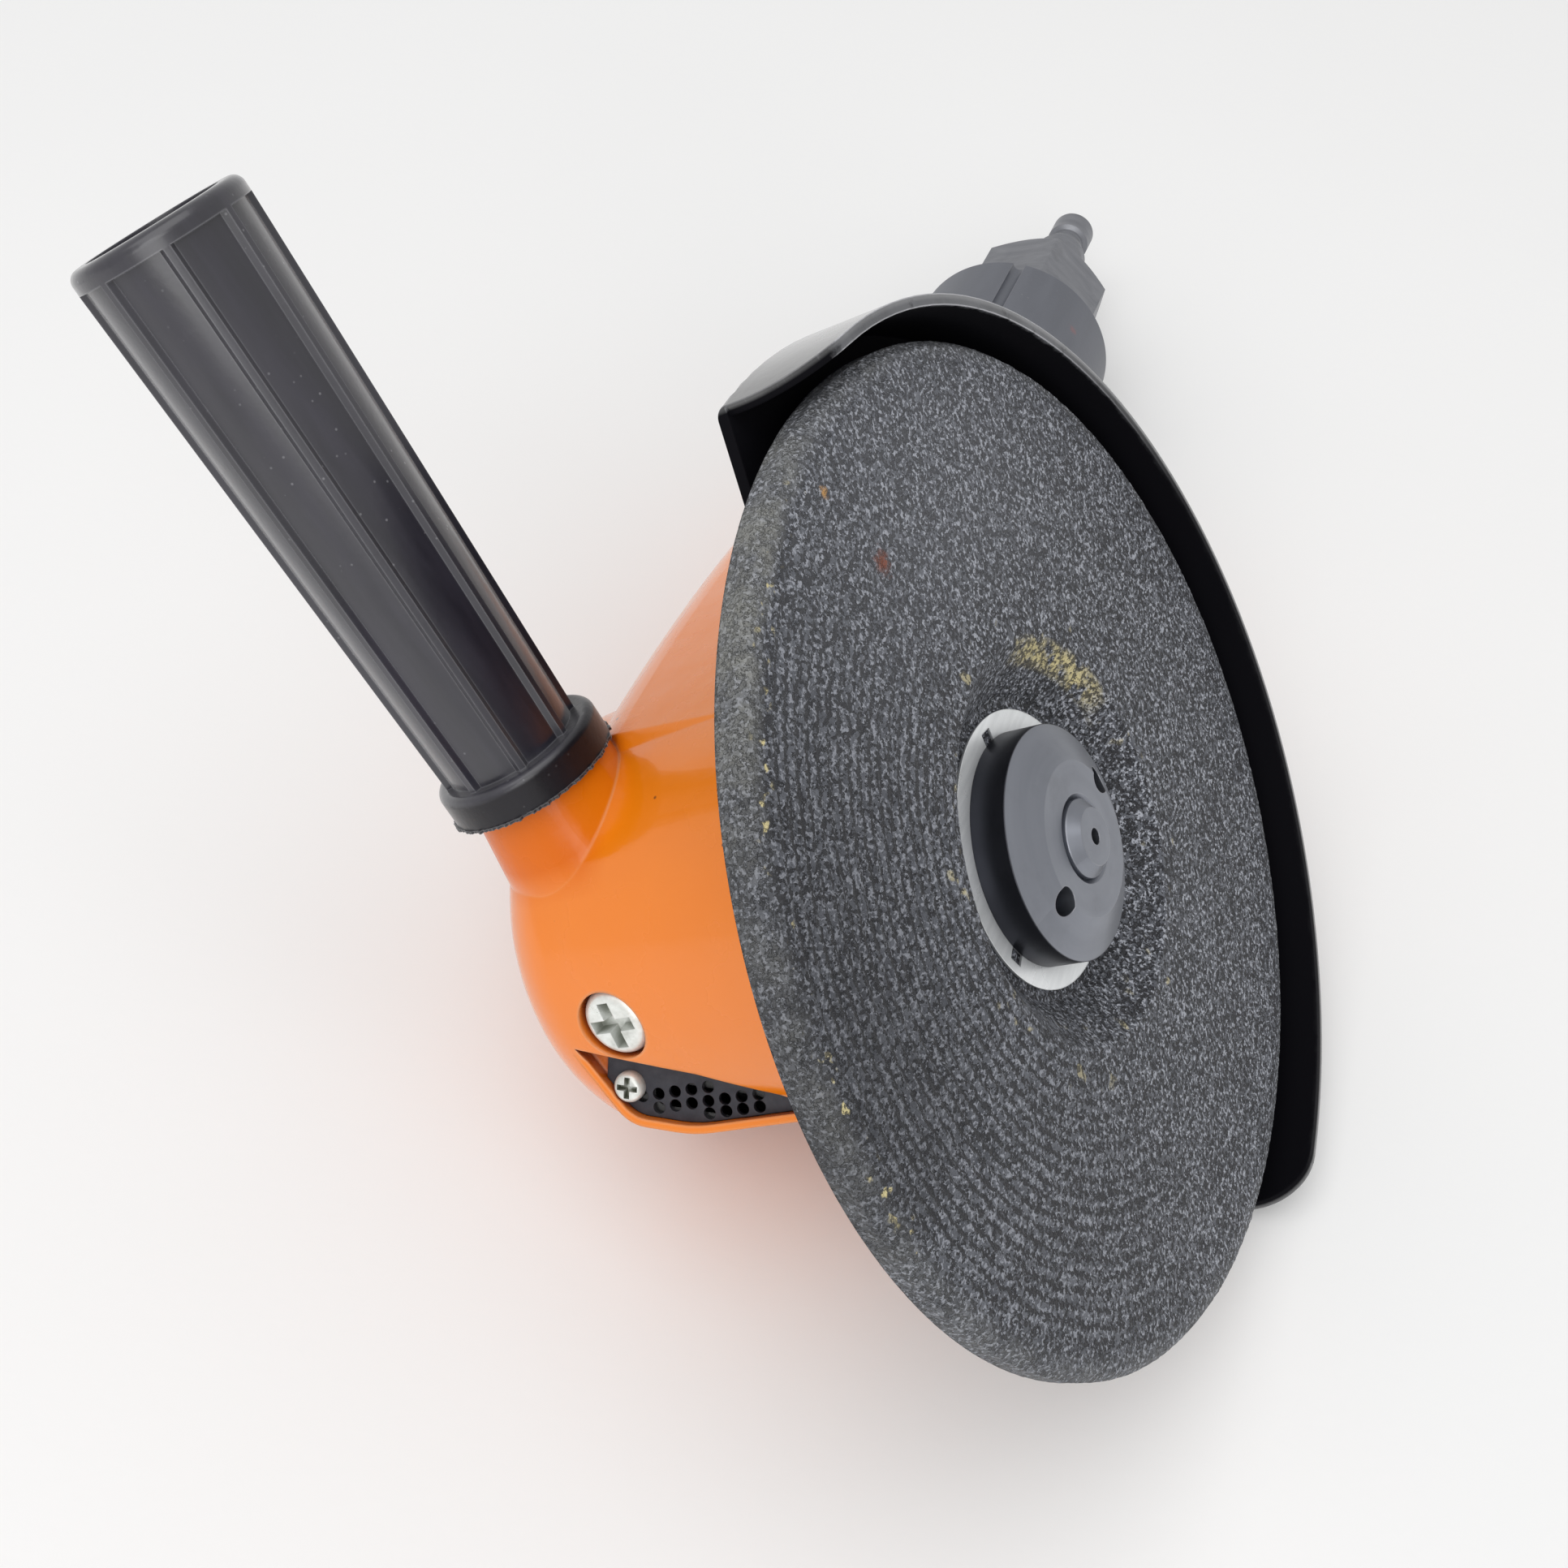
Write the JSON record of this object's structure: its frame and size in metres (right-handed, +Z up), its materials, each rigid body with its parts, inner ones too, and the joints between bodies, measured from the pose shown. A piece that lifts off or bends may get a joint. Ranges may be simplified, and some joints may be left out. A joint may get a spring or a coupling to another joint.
{
  "type": "pneumatic angle grinder",
  "caption": "Air-driven angle grinder with a depressed-centre wheel, half guard, side handle and twist throttle, lying on its side.",
  "frame": {"origin": "on the bench, under the middle of the tool's box", "axes": "+Z up from the bench, +X along the tool from the wheel towards the air inlet, wheel face turned to -Y and up"},
  "size_m": [0.3782, 0.2354, 0.179],
  "materials": {
    "orange_paint": "gloss orange enamel over the casting",
    "black_grip": "satin",
    "black_sheet": "satin",
    "abrasive": "rough grain",
    "bright_steel": "brushed",
    "zinc": "bright zinc",
    "black_oxide": "satin black oxide",
    "inlet_steel": "satin phosphate",
    "grey_sleeve": "satin",
    "grille_black": "satin",
    "ground_steel": "ground",
    "cast_aluminium": "machined",
    "motor_iron": "machined",
    "vane_fibre": "matt",
    "seal_rubber": "matt",
    "brass_mesh": "plain"
  },
  "bodies": {
    "tool": {"air_nipple": "inlet_steel", "cover_screws": "black_oxide", "cylinder_screw": "zinc", "exhaust_grille": "grille_black", "front_cover": "cast_aluminium", "grille_screw": "zinc", "handle_stud": "zinc", "housing": "orange_paint", "inlet_bushing": "inlet_steel", "inlet_strainer": "brass_mesh", "lower_bearing_outer_ring": "ground_steel", "lower_end_plate": "motor_iron", "motor_cylinder": "motor_iron", "shaft_seal": "seal_rubber", "side_grip": "black_grip", "upper_bearing_outer_ring": "ground_steel", "upper_end_plate": "motor_iron", "valve_body": "cast_aluminium"},
    "spinning_group": {"spindle": "black_oxide", "rotor": "motor_iron", "rotor_key": "ground_steel", "rotor_vanes": "vane_fibre", "lower_bearing_inner_ring": "ground_steel", "upper_bearing_inner_ring": "ground_steel", "inner_flange": "black_oxide", "grinding_wheel": "abrasive", "wheel_ring": "bright_steel", "lock_nut": "black_oxide"},
    "lower_cage": {"lower_bearing_balls": "ground_steel"},
    "upper_cage": {"upper_bearing_balls": "ground_steel"},
    "guard_group": {"guard": "black_sheet", "guard_band": "black_sheet", "guard_clamp_screw": "zinc", "guard_clamp_nut": "zinc"},
    "throttle_group": {"throttle_sleeve": "grey_sleeve", "throttle_spool": "cast_aluminium", "spool_rings": "seal_rubber", "sleeve_pin": "ground_steel"}
  },
  "joints": [
    {"name": "spindle_spin", "type": "hinge", "parent": "tool", "child": "spinning_group", "pos_m": [-0.09994, -0.03944, 0.07518], "axis": [0.0427, -0.8154, 0.5773], "continuous": true},
    {"name": "lower_cage_spin", "type": "hinge", "parent": "tool", "child": "lower_cage", "pos_m": [-0.10033, -0.0321, 0.06999], "axis": [0.0427, -0.8154, 0.5773], "continuous": true},
    {"name": "upper_cage_spin", "type": "hinge", "parent": "tool", "child": "upper_cage", "pos_m": [-0.10289, 0.01683, 0.03535], "axis": [0.0427, -0.8154, 0.5773], "continuous": true},
    {"name": "guard_turn", "type": "hinge", "parent": "tool", "child": "guard_group", "pos_m": [-0.09977, -0.0427, 0.07749], "axis": [0.0427, -0.8154, 0.5773], "range_deg": [-90, 90]},
    {"name": "throttle_twist", "type": "hinge", "parent": "tool", "child": "throttle_group", "pos_m": [0.09511, 0.00664, 0.02797], "axis": [0.9973, 0, -0.0737], "range_deg": [0, 50]}
  ],
  "couplings": [
    {"joint": "lower_cage_spin", "follows": "spindle_spin", "ratio": 0.38158},
    {"joint": "upper_cage_spin", "follows": "spindle_spin", "ratio": 0.36455}
  ]
}
